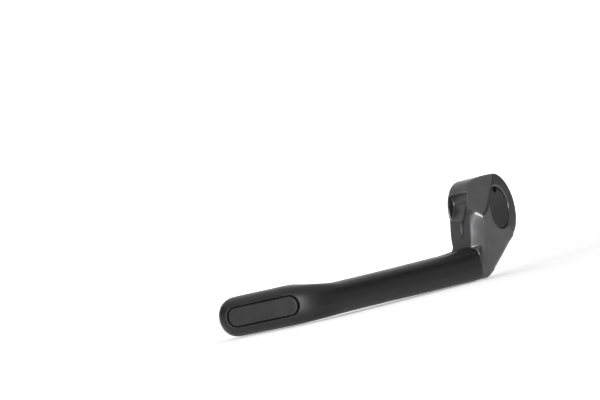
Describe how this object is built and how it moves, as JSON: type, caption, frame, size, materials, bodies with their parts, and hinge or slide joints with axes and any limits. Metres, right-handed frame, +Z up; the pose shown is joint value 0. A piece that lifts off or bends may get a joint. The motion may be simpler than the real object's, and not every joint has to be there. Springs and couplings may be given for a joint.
{
  "type": "bar-end hand-lever guard",
  "caption": "Bar-end hand-lever guard for the left grip: metal bar-end hub and short leg, moulded arm and inward paddle, pull-off hub cap and inset pad.",
  "frame": {"origin": "centre of the hub's inner face, on the handlebar's axis, where the bar's end is", "axes": "+X along the handlebar's axis towards the rider's centre line, +Y forward in the direction of travel, +Z up"},
  "size_m": [0.0819, 0.1464, 0.048],
  "materials": {
    "adapter": "satin black anodised",
    "arm": "fine-grained glass-filled nylon, black",
    "cap": "satin black moulding",
    "ring": "black rubber cord ring",
    "screws": "black-oxide steel",
    "badge": "finely textured black inset pad",
    "badge_screw": "black-oxide steel with a bright worn rim"
  },
  "bodies": {
    "guard": {"bar_end_adapter": "adapter", "guard_arm": "arm", "arm_fixing_screw_near": "screws", "arm_fixing_screw_far": "screws", "paddle_badge": "badge", "badge_fixing_screw": "badge_screw"},
    "cap": {"hub_cover_cap": "cap", "cap_retaining_ring": "ring"}
  },
  "joints": [
    {"name": "cap_pull", "type": "slide", "parent": "guard", "child": "cap", "axis": [-1, 0, 0], "range_m": [0, 0.01]}
  ]
}
